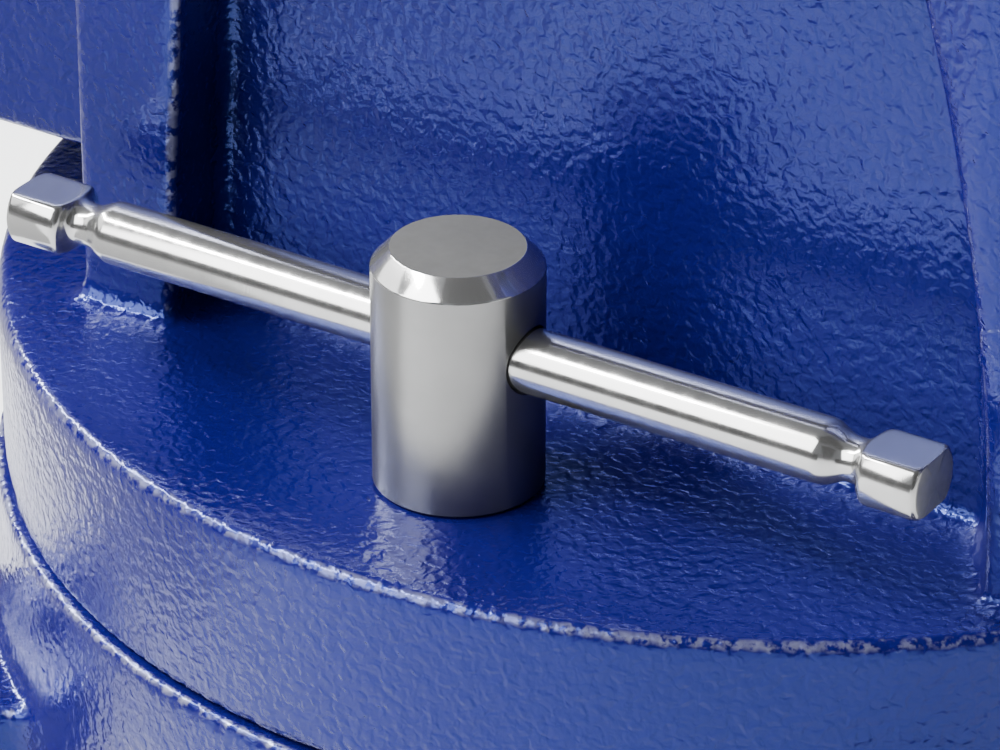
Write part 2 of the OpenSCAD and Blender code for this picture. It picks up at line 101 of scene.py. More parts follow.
def casting(name, node, shells, grain, triangles, soften_at):
    """A rough casting: the node's shape and the shells fused in one skin of cells as big as the
    grain, its edges rubbed down soften_at(points) times, then thinned to a number of triangles."""
    grain *= 1
    bm = bmesh.new()
    bm.from_mesh(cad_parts[node].data)
    bmesh.ops.remove_doubles(bm, verts=bm.verts, dist=1e-6)
    shells(bm)
    piece = piece_from(name, bm)
    skin = piece.modifiers.new("skin", "REMESH")
    skin.mode = "VOXEL"
    skin.voxel_size = grain
    depsgraph = bpy.context.evaluated_depsgraph_get()
    mesh = bpy.data.meshes.new_from_object(piece.evaluated_get(depsgraph))
    points = np.empty(len(mesh.vertices) * 3)
    mesh.vertices.foreach_get("co", points)
    points = points.reshape(-1, 3)
    edges = np.empty(len(mesh.edges) * 2, int)
    mesh.edges.foreach_get("vertices", edges)
    a, b = edges[::2], edges[1::2]
    count = np.maximum(np.bincount(a, minlength=len(points)) + np.bincount(b, minlength=len(points)), 1)
    turns = soften_at(points) * 1
    for turn in range(int(turns.max())):
        mean = np.stack([np.bincount(a, points[b, k], len(points)) + np.bincount(b, points[a, k], len(points))
                         for k in range(3)], 1) / count[:, None]
        share = np.clip(turns - turn, 0, 1)[:, None] * 0.5
        points += (mean - points) * share
    mesh.vertices.foreach_set("co", points.ravel())
    mesh.update()
    piece.modifiers.remove(skin)
    piece.data = mesh
    faces = 2 * len(mesh.polygons)
    if faces > triangles:
        thin = piece.modifiers.new("thin", "DECIMATE")
        thin.ratio = triangles / faces
        depsgraph = bpy.context.evaluated_depsgraph_get()
        thinned = bpy.data.meshes.new_from_object(piece.evaluated_get(depsgraph))
        piece.modifiers.remove(thin)
        piece.data = thinned
    piece.data.name = name
    piece.data.materials.clear()
    piece.data.shade_smooth()
    return piece


class Finish:
    """A material's node tree, with short ways to add the nodes that a finish is built from."""

    def __init__(self, name):
        self.material = bpy.data.materials.new(name)
        self.material.use_nodes = True
        self.tree = self.material.node_tree
        self.shader = self.tree.nodes["Principled BSDF"]
        self.place = self.tree.nodes.new("ShaderNodeTexCoord").outputs["Object"]

    def set(self, **values):
        for label, value in values.items():
            socket = self.shader.inputs[label.replace("_", " ")]
            socket.default_value = (*value, 1) if isinstance(value, tuple) else value

    def stretched(self, x, y, z):
        node = self.tree.nodes.new("ShaderNodeMapping")
        node.inputs["Scale"].default_value = (x, y, z)
        self.tree.links.new(self.place, node.inputs["Vector"])
        return node.outputs["Vector"]

    def noise(self, scale, detail=2, roughness=0.5, distortion=0, place=None):
        node = self.tree.nodes.new("ShaderNodeTexNoise")
        for label, value in (("Scale", scale), ("Detail", detail), ("Roughness", roughness),
                             ("Distortion", distortion)):
            node.inputs[label].default_value = value
        self.tree.links.new(place or self.place, node.inputs["Vector"])
        return node.outputs["Fac"]

    def spread(self, value, low, high, at=(0.3, 0.7)):
        node = self.tree.nodes.new("ShaderNodeMapRange")
        node.inputs["From Min"].default_value, node.inputs["From Max"].default_value = at
        node.inputs["To Min"].default_value, node.inputs["To Max"].default_value = low, high
        self.tree.links.new(value, node.inputs["Value"])
        return node.outputs["Result"]

    def blend(self, value, first, second):
        node = self.tree.nodes.new("ShaderNodeMix")
        node.data_type = "RGBA"
        for socket, colour in ((node.inputs[6], first), (node.inputs[7], second)):
            if isinstance(colour, tuple):
                socket.default_value = (*colour, 1)
            else:
                self.tree.links.new(colour, socket)
        self.tree.links.new(value, node.inputs[0])
        return node.outputs[2]

    def sum(self, first, second, share):
        node = self.tree.nodes.new("ShaderNodeMath")
        node.operation = "MULTIPLY_ADD"
        node.inputs[1].default_value = share
        self.tree.links.new(second, node.inputs[0])
        self.tree.links.new(first, node.inputs[2])
        return node.outputs[0]

    def relief(self, height, depth, under=None):
        node = self.tree.nodes.new("ShaderNodeBump")
        node.inputs["Distance"].default_value = depth
        self.tree.links.new(height, node.inputs["Height"])
        if under:
            self.tree.links.new(under, node.inputs["Normal"])
        return node.outputs["Normal"]

    def feed(self, **sources):
        for label, source in sources.items():
            self.tree.links.new(source, self.shader.inputs[label.replace("_", " ")])

    def times(self, first, second):
        node = self.tree.nodes.new("ShaderNodeMath")
        node.operation = "MULTIPLY"
        self.tree.links.new(first, node.inputs[0])
        if isinstance(second, float):
            node.inputs[1].default_value = second
        else:
            self.tree.links.new(second, node.inputs[1])
        return node.outputs[0]

    def edges(self, low, high):
        """How far a point is out on a corner, from the surface's own curvature."""
        node = self.tree.nodes.new("ShaderNodeNewGeometry")
        return self.spread(node.outputs["Pointiness"], 0, 1, (low, high))


def sprayed_enamel():
    f = Finish("blue_enamel")
    f.set(Coat_Weight=0.05, Coat_Roughness=0.05, IOR=1.5, Specular_IOR_Level=0.64,
          Specular_Tint=(0.17, 0.28, 1.0))
    paint = f.blend(f.spread(f.noise(22, 3), 0, 1), (0.0031, 0.0016, 0.05), (0.004, 0.0021, 0.06))
    # The corners carry small flecks of bare bluish-white iron. They are partly wear and partly a painted
    # highlight that lightens every convex edge.
    corner = f.edges(0.521, 0.585)
    fleck_and_edge_highlight = f.times(corner, f.spread(f.noise(620, 3, 0.6), 0, 1, (0.44, 0.54)))
    f.feed(Base_Color=f.blend(fleck_and_edge_highlight, paint, (0.5, 0.52, 0.62)), Metallic=f.times(fleck_and_edge_highlight, 0.9),
           Roughness=f.spread(f.noise(60, 3), 0.16, 0.26))
    peel = f.sum(f.noise(700, 1, 0.4, 0.45), f.noise(1700, 1, 0.5, 0.3), 0.16)
    waves = f.relief(f.noise(160, 2), 0.00012)
    skin = f.relief(peel, 0.00024, waves)
    f.feed(Normal=skin, Coat_Normal=skin)
    return f.material


enamel = sprayed_enamel()
MM = 0.001


def base_shells(bm):
    """The ring's turned top edge, round enough to show no flats."""
    edge = round_off((0, 110.5), (36, 108.5), (36, 100), 1.2)
    turned(bm, [(x * MM, y * MM) for x, y in [(24.2, 89), (24.2, 109.2)] + edge + [(36, 88.4), (24.2, 88.4)]]
           + [(24.2 * MM, 89 * MM)], Matrix.Identity(4), 540)


def base_softening(p):
    """The ears stand outside the turned ring, and are rubbed down more than it is."""
    ring_radius = 0.1135
    return np.full(len(p), 4.0) + 10 * (np.hypot(p[:, 0], p[:, 1]) > ring_radius)


base = casting("swivel_base_casting", "swivel_base", base_shells, grain=0.0009, triangles=150000,
               soften_at=base_softening)
base.data.materials.append(enamel)
fasten(base, "base", "blue_enamel", "swivel_base")

# ---- turntable and fixed jaw ----
# One casting: a turned disc that swivels on the base, a pedestal with a rear rib and a front
# buttress, the housing round the slide beam, the fixed jaw and a small anvil. It is sprayed in
# the same enamel, and the anvil's face and the jaw's top are then ground bare.


def foot_fillet(bm, outline, height, radius):
    """The concave fillet where the pedestal's walls stand on the disc, along one outline."""
    arc = [(radius - radius * math.sin(a), radius - radius * math.cos(a))
           for a in (math.radians(15 * i) for i in range(7))]
    section = [(-1.5, -1.5), (radius + 0.1, -1.5)] + [(x, z) for x, z in arc] + [(-1.5, radius)]
    for (x0, y0), (x1, y1) in zip(outline, outline[1:]):
        run = Vector((x1 - x0, y1 - y0, 0)).normalized()
        out = Vector((-run.y, run.x, 0))
        ends = []
        for x, y, push in ((x0, y0, -0.3), (x1, y1, 0.3)):
            ends.append([bm.verts.new((Vector((x, y, height)) + run * push + out * s + Vector((0, 0, z))) * MM)
                         for s, z in section])
        count = len(section)
        for i in range(count):
            j = (i + 1) % count
            bm.faces.new((ends[0][i], ends[0][j], ends[1][j], ends[1][i]))
        bm.faces.new(ends[0][::-1])
        bm.faces.new(ends[1])
    trumpet = [(-1.5, 0), (-1.5, radius)] + [(z, x) for x, z in arc[:-1]] + [(radius, 0)]
    for x, y in outline[1:-1]:
        turned(bm, [(s * MM, max(r, 0.02) * MM if 0 < k < len(trumpet) - 1 else 0)
                    for k, (s, r) in enumerate(trumpet)],
               Matrix.Translation((x * MM, y * MM, height * MM)), 24)


def body_shells(bm):
    """The disc's turned rim, and the cast fillets where the pedestal stands on it."""
    rim = round_off((50, 107.2), (64, 107.2), (64, 90), 1.1)
    turned(bm, [(x * MM, y * MM) for x, y in [(56, 89), (36.3, 89.5), (36.3, 106.9), (36.6, 107.22)] + rim
                + [(64.02, 89), (56, 89)]], Matrix.Identity(4), 540)
    foot = [(-70, 66), (-55.6, 65.5), (-55.6, 54), (62, 54), (65.8, 61.2), (71, 67), (73.5, 70),
            (80, 70), (96, 44)]
    foot_fillet(bm, foot, 64, 2.4)
    foot_fillet(bm, [(x, -y) for x, y in foot][::-1], 64, 2.4)


def body_softening(p):
    """How far each stretch of the casting is rubbed down: the turned disc and the milled tunnel
    least, the as-cast jaw and housing most."""
    x, y, z = p.T * 1000
    turns = np.full(len(p), 3.5)
    turns[z > 66] = 5
    turns[(z > 152) | (x < -72)] = 16
    turns[(z > 184.5) | ((x < -20) & (z > 182.5))] = 4
    turns[z > 205] = 5
    turns[(abs(y) < 34) & (z > 90) & (z < 152)] = 3
    return turns


def ground_iron():
    f = Finish("ground_iron")
    f.set(Metallic=0.9)
    f.feed(Base_Color=f.blend(f.spread(f.noise(40, 4), 0, 1), (0.38, 0.38, 0.385), (0.5, 0.5, 0.495)),
           Roughness=f.spread(f.noise(1, 3, place=f.stretched(1500, 60, 300)), 0.24, 0.44),
           Normal=f.relief(f.noise(1, 2, place=f.stretched(2400, 45, 400)), 0.00003))
    return f.material


iron = ground_iron()


def bare_where(piece, test):
    """Gives the bare iron to the faces that the test of their middles and normals picks."""
    mesh = piece.data
    count = len(mesh.polygons)
    middle, normal = np.empty(count * 3), np.empty(count * 3)
    mesh.polygons.foreach_get("center", middle)
    mesh.polygons.foreach_get("normal", normal)
    picked = test(middle.reshape(-1, 3) * 1000, normal.reshape(-1, 3))
    mesh.polygons.foreach_set("material_index", picked.astype(np.int32))
    mesh.update()


def ground_tops(p, n):
    """The anvil's face and the top of the fixed jaw, where they point up."""
    x, z = p[:, 0], p[:, 2]
    anvil_face = (x > -97) & (x < -24) & (z > 183) & (z < 190)
    jaw_top = z > 239.2
    return (n[:, 2] > 0.9) & (anvil_face | jaw_top)


body = casting("turntable_body_casting", "static_body", body_shells, grain=0.0008, triangles=196000,
               soften_at=body_softening)
body.data.materials.append(enamel)
body.data.materials.append(iron)
bare_where(body, ground_tops)
fasten(body, "turntable", "blue_enamel", "static_body")

# ---- pivot bolt and washer ----
# A hexagon-head bolt and a thick washer hold the turntable down from under the hub, so only
# the underside shows them. Both are plain zinc-plated steel.


def eased(name, node, width, angle=40):
    """A copy of a machined CAD node with its sharp corners broken by a fine round."""
    bm = bmesh.new()
    bm.from_mesh(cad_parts[node].data)
    bmesh.ops.remove_doubles(bm, verts=bm.verts, dist=1e-6)
    bmesh.ops.dissolve_limit(bm, angle_limit=math.radians(1), verts=bm.verts, edges=bm.edges)
    piece = piece_from(name, bm)
    ease = piece.modifiers.new("ease", "BEVEL")
    ease.width = width
    ease.segments = 2
    ease.limit_method = "ANGLE"
    ease.angle_limit = math.radians(angle)
    ease.use_clamp_overlap = True
    return settled(piece)


def settled(piece):
    """Turns a piece and its modifiers into one plain mesh."""
    depsgraph = bpy.context.evaluated_depsgraph_get()
    mesh = bpy.data.meshes.new_from_object(piece.evaluated_get(depsgraph))
    piece.modifiers.clear()
    piece.data = mesh
    mesh.name = piece.name
    shading(mesh)
    return piece


def plated_steel():
    f = Finish("zinc_plated_steel")
    f.set(Metallic=0.95)
    f.feed(Base_Color=f.blend(f.spread(f.noise(300, 3), 0, 1), (0.46, 0.47, 0.49), (0.58, 0.58, 0.58)),
           Roughness=f.spread(f.noise(700, 2), 0.3, 0.5),
           Normal=f.relief(f.noise(2500, 2), 0.00001))
    return f.material


zinc = plated_steel()
for node, width in (("pivot_bolt", 0.0004), ("pivot_washer", 0.0004)):
    part = eased(node + "_turned", node, width)
    part.data.materials.append(zinc)
    fasten(part, "turntable", "plain_steel", node)

# ---- jaw plates ----
# Two bars of hardened tool steel, one on each jaw, milled with a field of small diamond teeth
# that is left plain round the screws. Each is held by two countersunk socket screws.


def hardened_steel():
    f = Finish("hardened_jaw_steel")
    f.set(Metallic=0.95)
    f.feed(Base_Color=f.blend(f.spread(f.noise(90, 4), 0, 1), (0.17, 0.172, 0.18), (0.3, 0.3, 0.3)),
           Roughness=f.spread(f.noise(500, 3), 0.28, 0.46),
           Normal=f.relief(f.noise(1, 2, place=f.stretched(900, 90, 3000)), 0.00002))
    return f.material


def blackened_steel():
    f = Finish("blackened_steel")
    f.set(Metallic=0.4)
    f.feed(Base_Color=f.blend(f.spread(f.noise(250, 3), 0, 1), (0.07, 0.071, 0.075), (0.11, 0.11, 0.115)),
           Roughness=f.spread(f.noise(900, 3), 0.36, 0.52), Normal=f.relief(f.noise(1800, 2), 0.000015))
    return f.material


tool_steel, black = hardened_steel(), blackened_steel()


class Tree:
    """A Geometry Nodes tree whose sizes are its named inputs."""

    def __init__(self, name, **sizes):
        self.tree = bpy.data.node_groups.new(name, "GeometryNodeTree")
        sockets = self.tree.interface
        sockets.new_socket("Geometry", in_out="OUTPUT", socket_type="NodeSocketGeometry")
        sockets.new_socket("Geometry", in_out="INPUT", socket_type="NodeSocketGeometry")
        for label, value in sizes.items():
            kind = "NodeSocketInt" if isinstance(value, int) else "NodeSocketFloat"
            sockets.new_socket(label, in_out="INPUT", socket_type=kind).default_value = value
        sockets.new_socket("Finish", in_out="INPUT", socket_type="NodeSocketMaterial")
        self.given = self.tree.nodes.new("NodeGroupInput").outputs

    def add(self, kind, settings=None, **inputs):
        node = self.tree.nodes.new(kind)
        for label, value in (settings or {}).items():
            setattr(node, label, value)
        for label, value in inputs.items():
            self.put(node.inputs[label.replace("_", " ")], value)
        return node

    def put(self, socket, value):
        if isinstance(value, bpy.types.NodeSocket):
            self.tree.links.new(value, socket)
        else:
            socket.default_value = value

    def math(self, operation, first, second=0.0):
        node = self.add("ShaderNodeMath", {"operation": operation})
        self.put(node.inputs[0], first)
        self.put(node.inputs[1], second)
        return node.outputs[0]

    def point(self, x=0.0, y=0.0, z=0.0):
        return self.add("ShaderNodeCombineXYZ", X=x, Y=y, Z=z).outputs[0]

    def join(self, *parts):
        node = self.tree.nodes.new("GeometryNodeJoinGeometry")
        for part in parts:
            self.tree.links.new(part, node.inputs[0])
        return node.outputs[0]

    def end(self, geometry):
        real = self.add("GeometryNodeRealizeInstances", Geometry=geometry)
        finish = self.add("GeometryNodeSetMaterial", Geometry=real.outputs[0], Material=self.given["Finish"])
        self.tree.links.new(finish.outputs[0], self.tree.nodes.new("NodeGroupOutput").inputs[0])

    def build(self, piece, finish, **sizes):
        """Runs the tree on a piece and leaves the result as the piece's plain mesh."""
        step = piece.modifiers.new(self.tree.name, "NODES")
        step.node_group = self.tree
        for item in self.tree.interface.items_tree:
            if item.in_out == "INPUT" and item.name in sizes:
                step[item.identifier] = sizes[item.name]
            elif item.in_out == "INPUT" and item.name == "Finish":
                step[item.identifier] = finish
        return settled(piece)


def tooth_field():
    """Four-sided teeth on two shifted grids, so that their feet meet like a chequered board."""
    t = Tree("tooth_field", Across=57, Up=9, Pitch=0.0026, Height=0.0009, Face=0.1, Turn=1.5708,
             Middle=0.22625, Hole=0.046, Clear=0.0125)
    g = t.given
    grids = []
    for shift in (0.0, 0.5):
        wide = t.math("MULTIPLY", t.math("SUBTRACT", g["Across"], 1.0 + 2 * shift), g["Pitch"])
        tall = t.math("MULTIPLY", t.math("SUBTRACT", g["Up"], 1.0 + 2 * shift), g["Pitch"])
        grid = t.add("GeometryNodeMeshGrid", Size_X=wide, Size_Y=tall,
                     Vertices_X=t.math("SUBTRACT", g["Across"], 2 * shift),
                     Vertices_Y=t.math("SUBTRACT", g["Up"], 2 * shift))
        grids.append(grid.outputs[0])
    flat = t.add("ShaderNodeSeparateXYZ", Vector=t.add("GeometryNodeInputPosition").outputs[0])
    stood = t.add("GeometryNodeSetPosition", Geometry=t.join(*grids),
                  Position=t.point(g["Face"], flat.outputs[0], t.math("ADD", flat.outputs[1], g["Middle"])))
    place = t.add("ShaderNodeSeparateXYZ", Vector=t.add("GeometryNodeInputPosition").outputs[0])
    side = t.math("SUBTRACT", t.math("ABSOLUTE", place.outputs[1]), g["Hole"])
    rise = t.math("SUBTRACT", place.outputs[2], g["Middle"])
    away = t.math("SQRT", t.math("ADD", t.math("MULTIPLY", side, side), t.math("MULTIPLY", rise, rise)))
    kept = t.add("GeometryNodeDeleteGeometry", Geometry=stood.outputs[0],
                 Selection=t.math("LESS_THAN", away, g["Clear"]))
    tooth = t.add("GeometryNodeMeshCone", {"fill_type": "NONE"}, Vertices=4,
                  Radius_Bottom=t.math("MULTIPLY", g["Pitch"], 0.5),
                  Radius_Top=t.math("MULTIPLY", g["Pitch"], 0.07), Depth=g["Height"])
    teeth = t.add("GeometryNodeInstanceOnPoints", Points=kept.outputs[0], Instance=tooth.outputs[0],
                  Rotation=t.point(0.0, g["Turn"], 0.0))
    t.end(t.join(g["Geometry"], teeth.outputs[0]))
    return t


def set_back(node, face, depth):
    """A merged copy of a CAD node whose working face is milled back to the teeth's feet."""
    bm = bmesh.new()
    bm.from_mesh(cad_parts[node].data)
    bmesh.ops.remove_doubles(bm, verts=bm.verts, dist=1e-6)
    for v in bm.verts:
        if abs(v.co.x - face) < 2e-5:
            v.co.x += depth
    piece = piece_from(node + "_toothed", bm)
    shading(piece.data)
    return piece


teeth = tooth_field()
TOOTH_HEIGHT = 0.9 * MM
for side, face, into, moves in (("static", 0.1, -1, "turntable"), ("dynamic", 0.1005, 1, "sliding_jaw")):
    plate = set_back(side + "_jaw_plate", face, into * TOOTH_HEIGHT)
    teeth.build(plate, tool_steel, Face=face + into * TOOTH_HEIGHT, Turn=-into * math.pi / 2)
    fasten(plate, moves, "jaw_steel", side + "_jaw_plate")
    for screws in ("_jaw_screws", "_pipe_screws"):
        part = eased(side + screws + "_set", side + screws, 0.00025)
        part.data.materials.append(black)
        fasten(part, moves, "black_steel", side + screws)

# ---- pipe jaws ----
# Two hollow-faced blocks of the same hardened steel under the jaw plates, for gripping round
# work. Their hollow is cut with rows of teeth that run across it, left plain at the screws.


def ridge_field():
    """Square bars laid corner outwards in rows along the hollow, except round the screws."""
    t = Tree("ridge_field", Rows=19, Across=27, Length=0.0021, Reach=0.865, Radius=0.024, Centre=0.115,
             Side=-1.0, Middle=0.185, Ridge=0.0013, Hole=0.017, Clear=0.0078)
    g = t.given
    width = t.math("MULTIPLY", t.math("SUBTRACT", g["Across"], 1.0), g["Length"])
    grid = t.add("GeometryNodeMeshGrid", Size_X=width, Size_Y=t.math("MULTIPLY", g["Reach"], 2.0),
                 Vertices_X=g["Across"], Vertices_Y=g["Rows"])
    flat = t.add("ShaderNodeSeparateXYZ", Vector=t.add("GeometryNodeInputPosition").outputs[0])
    lean = t.add("GeometryNodeStoreNamedAttribute", Geometry=grid.outputs[0], Name="lean",
                 Value=flat.outputs[1])
    x = t.math("MULTIPLY", t.math("MULTIPLY", t.math("COSINE", flat.outputs[1]), g["Radius"]), g["Side"])
    z = t.math("MULTIPLY", t.math("SINE", flat.outputs[1]), g["Radius"])
    bent = t.add("GeometryNodeSetPosition", Geometry=lean.outputs[0],
                 Position=t.point(t.math("ADD", x, g["Centre"]), flat.outputs[0], t.math("ADD", z, g["Middle"])))
    place = t.add("ShaderNodeSeparateXYZ", Vector=t.add("GeometryNodeInputPosition").outputs[0])
    side = t.math("SUBTRACT", t.math("ABSOLUTE", place.outputs[1]), g["Hole"])
    rise = t.math("SUBTRACT", place.outputs[2], g["Middle"])
    away = t.math("SQRT", t.math("ADD", t.math("MULTIPLY", side, side), t.math("MULTIPLY", rise, rise)))
    kept = t.add("GeometryNodeDeleteGeometry", Geometry=bent.outputs[0],
                 Selection=t.math("LESS_THAN", away, g["Clear"]))
    bar = t.add("GeometryNodeMeshCube")
    t.put(bar.inputs["Size"], t.point(g["Ridge"], g["Length"], g["Ridge"]))
    lean_again = t.add("GeometryNodeInputNamedAttribute", Name="lean").outputs[0]
    turn = t.math("ADD", t.math("MULTIPLY", t.math("MULTIPLY", lean_again, g["Side"]), -1.0), math.pi / 4)
    rows = t.add("GeometryNodeInstanceOnPoints", Points=kept.outputs[0], Instance=bar.outputs[0],
                 Rotation=t.point(0.0, turn, 0.0))
    t.end(t.join(g["Geometry"], rows.outputs[0]))
    return t


ridges = ridge_field()
for side, centre, into, moves in (("static", 0.115, -1.0, "turntable"), ("dynamic", 0.0855, 1.0, "sliding_jaw")):
    block = eased(side + "_pipe_jaw_toothed", side + "_pipe_jaw", 0.0004, 55)
    ridges.build(block, tool_steel, Centre=centre, Side=into)
    fasten(block, moves, "jaw_steel", side + "_pipe_jaw")

# ---- sliding jaw and beam ----
# The front jaw and its hollow slide beam are one casting. The jaw is sprayed blue; the beam is
# milled on all four sides to run in the housing, so it stays bare iron, as does the jaw's top.


def jaw_softening(p):
    """The milled beam and the ground top stay crisp, and the rest is as cast."""
    x, y, z = p.T * 1000
    turns = np.full(len(p), 14.0)
    turns[x < 113.5] = 4
    turns[z > 237.5] = 4
    return turns


def milled_faces(p, n):
    """The whole slide beam behind the jaw, and the jaw's top."""
    beam = (p[:, 0] < 103.6) & (p[:, 2] < 151)
    jaw_top = (n[:, 2] > 0.9) & (p[:, 2] > 239.2)
    return beam | jaw_top


jaw = casting("sliding_jaw_casting", "dynamic_jaw", lambda bm: None, grain=0.001, triangles=170000,
              soften_at=jaw_softening)
jaw.data.materials.append(enamel)
jaw.data.materials.append(iron)
bare_where(jaw, milled_faces)
fasten(jaw, "sliding_jaw", "blue_enamel", "dynamic_jaw")

# ---- main nut ----
# A block of ductile iron that the main screw turns in. It stands in the housing's tunnel on a
# foot, and two socket screws from above hold the foot down.


def machined_nut_iron():
    f = Finish("ductile_iron")
    f.set(Metallic=0.8)
    f.feed(Base_Color=f.blend(f.spread(f.noise(70, 4), 0, 1), (0.16, 0.155, 0.15), (0.27, 0.265, 0.26)),
           Roughness=f.spread(f.noise(600, 3), 0.38, 0.6), Normal=f.relief(f.noise(1100, 3), 0.00004))
    return f.material


for node, finish, slot in (("main_nut", machined_nut_iron(), "nut_iron"), ("nut_screws", black, "black_steel")):
    part = eased(node + "_machined", node, 0.0004)
    part.data.materials.append(finish)
    fasten(part, "turntable", slot, node)

# ---- main screw ----
# Turned from one bar of bright steel: a trapezoidal thread behind, a plain journal, a thrust
# flange and a head that is cross-drilled for the handle.


def bright_turned_steel(name, along, light=(0.66, 0.66, 0.655), dark=(0.52, 0.52, 0.52), gloss=(0.1, 0.2)):
    """Bright steel whose fine turning marks run round the axis named."""
    f = Finish(name)
    f.set(Metallic=0.93)
    fine = [5200 if axis == along else 160 for axis in "xyz"]
    coarse = [900 if axis == along else 30 for axis in "xyz"]
    marks = f.noise(1, 2, 0.6, place=f.stretched(*fine))
    bands = f.noise(1, 2, place=f.stretched(*coarse))
    f.feed(Base_Color=f.blend(f.spread(f.noise(120, 4), 0, 1), dark, light),
           Roughness=f.sum(f.spread(bands, *gloss), marks, 0.06),
           Normal=f.relief(marks, 0.0000025))
    return f.material


def thread_on_screw():
    """A trapezoidal ridge wound round the screw's core, from Start for Length."""
    t = Tree("trapezoidal_thread", Start=-0.145, Length=0.276, Pitch=0.006, Root=0.0092, Depth=0.0028,
             Foot=0.0034, Crest=0.0021, Steps=40, Axis=0.116)
    g = t.given
    turns = t.math("DIVIDE", t.math("SUBTRACT", g["Length"], g["Pitch"]), g["Pitch"])
    middle = t.math("ADD", g["Root"], t.math("MULTIPLY", g["Depth"], 0.5))
    path = t.add("GeometryNodeCurveSpiral", Resolution=g["Steps"], Rotations=turns, Start_Radius=middle,
                 End_Radius=middle, Height=t.math("SUBTRACT", g["Length"], g["Pitch"]))
    level = t.add("GeometryNodeSetCurveNormal", {"mode": "Z_UP"}, Curve=path.outputs[0])
    section = t.add("GeometryNodeCurvePrimitiveQuadrilateral", {"mode": "TRAPEZOID"},
                    Height=g["Depth"], Bottom_Width=g["Foot"], Top_Width=g["Crest"], Offset=0.0)
    stood = t.add("GeometryNodeTransform", Geometry=section.outputs[0],
                  Rotation=(0.0, 0.0, THREAD_TURN))
    ridge = t.add("GeometryNodeCurveToMesh", Curve=level.outputs[0], Profile_Curve=stood.outputs[0])
    t.put(ridge.inputs["Fill Caps"], True)
    first_turn = t.math("ADD", g["Start"], t.math("MULTIPLY", g["Pitch"], 0.5))
    laid = t.add("GeometryNodeTransform", Geometry=ridge.outputs[0], Rotation=(0.0, math.pi / 2, 0.0),
                 Translation=t.point(first_turn, 0.0, g["Axis"]))
    t.end(t.join(g["Geometry"], laid.outputs[0]))
    return t


THREAD_TURN = math.pi / 2
SCREW_Z = 0.116
HEAD_X = 0.231
ALONG_X = Matrix.Translation((0, 0, SCREW_Z)) @ Matrix.Rotation(math.pi / 2, 4, "Y")


def bored(piece, centre, direction, radius, ease):
    """Drills a round hole with a broken edge through a piece."""
    swing = Vector((0, 0, 1)).rotation_difference(Vector(direction))
    place = Matrix.Translation(centre) @ swing.to_matrix().to_4x4()
    bm = turned(bmesh.new(), [(-0.06, 0), (-0.06, radius), (0.06, radius), (0.06, 0)], place, 64)
    bmesh.ops.recalc_face_normals(bm, faces=bm.faces)
    drill = piece_from("drill", bm)
    cut = piece.modifiers.new("bore", "BOOLEAN")
    cut.object = drill
    cut.solver = "EXACT"
    settled(piece)
    bpy.data.objects.remove(drill)
    if ease:
        edge = piece.modifiers.new("ease", "BEVEL")
        edge.width, edge.segments = ease, 2
        edge.angle_limit = math.radians(50)
        settled(piece)
    return piece


screw_steel = bright_turned_steel("turned_screw_steel", "x")
head = [(206.2, 12), (206.2, 19.4), (206.8, 20), (211.6, 20), (212.2, 19.4), (212.2, 17.6), (212.8, 17),
        (244.4, 17), (246.4, 16.6), (248, 15), (250.0, 12.2), (250.18, 11.4), (250.2, 0)]
profile = [(-144.9, 0), (-144.9, 8.4), (-143.6, 9.3), (130.5, 9.3), (132, 11.6), (132.5, 12)] + head
bm = turned(bmesh.new(), [(x * MM, r * MM) for x, r in profile], ALONG_X, 96)
bmesh.ops.recalc_face_normals(bm, faces=bm.faces)
screw = piece_from("main_screw_turned", bm)
bored(screw, (HEAD_X, 0, SCREW_Z), (0, 1, 0), 0.0082, 0.0007)
bored(screw, (0.139, 0, SCREW_Z), (0, 0, 1), 0.00255, 0)
thread_on_screw().build(screw, screw_steel)
fasten(screw, "screw", "bright_steel", "spindle")

# ---- washers, collar and pin on the screw ----
# A brass thrust washer sits under the screw's flange. Inside the jaw a steel washer, a spring
# and a pinned collar pull the jaw back with the screw.


def rolled_brass():
    f = Finish("rolled_brass")
    f.set(Metallic=1.0)
    f.feed(Base_Color=f.blend(f.spread(f.noise(160, 4), 0, 1), (0.5, 0.33, 0.1), (0.68, 0.47, 0.17)),
           Roughness=f.spread(f.noise(500, 3), 0.22, 0.42), Normal=f.relief(f.noise(2000, 2), 0.00001))
    return f.material


for node, finish, slot in (("thrust_washer", rolled_brass(), "washer_brass"),
                           ("retaining_washer", zinc, "plain_steel"),
                           ("spindle_collar", black, "black_steel"),
                           ("collar_pin", black, "black_steel")):
    part = eased(node + "_fitted", node, 0.0003)
    part.data.materials.append(finish)
    fasten(part, "screw", slot, node)

# ---- spring on the screw ----
# A short compression spring wound from blackened wire between the collar and the washer.


def wound_spring():
    t = Tree("wound_spring", Start=0.1477, Length=0.0165, Turns=4.0, Coil=0.0154, Wire=0.00155, Steps=32,
             Axis=0.116)
    g = t.given
    path = t.add("GeometryNodeCurveSpiral", Resolution=g["Steps"], Rotations=g["Turns"], Start_Radius=g["Coil"],
                 End_Radius=g["Coil"], Height=g["Length"])
    wire = t.add("GeometryNodeCurvePrimitiveCircle", Resolution=12, Radius=g["Wire"])
    coil = t.add("GeometryNodeCurveToMesh", Curve=path.outputs[0], Profile_Curve=wire.outputs[0])
    t.put(coil.inputs["Fill Caps"], True)
    laid = t.add("GeometryNodeTransform", Geometry=coil.outputs[0], Rotation=(0.0, math.pi / 2, 0.0),
                 Translation=t.point(g["Start"], 0.0, g["Axis"]))
    t.end(laid.outputs[0])
    return t


spring = wound_spring().build(piece_from("screw_spring_wound", bmesh.new()), black)
fasten(spring, "screw", "black_steel", "spindle_spring")

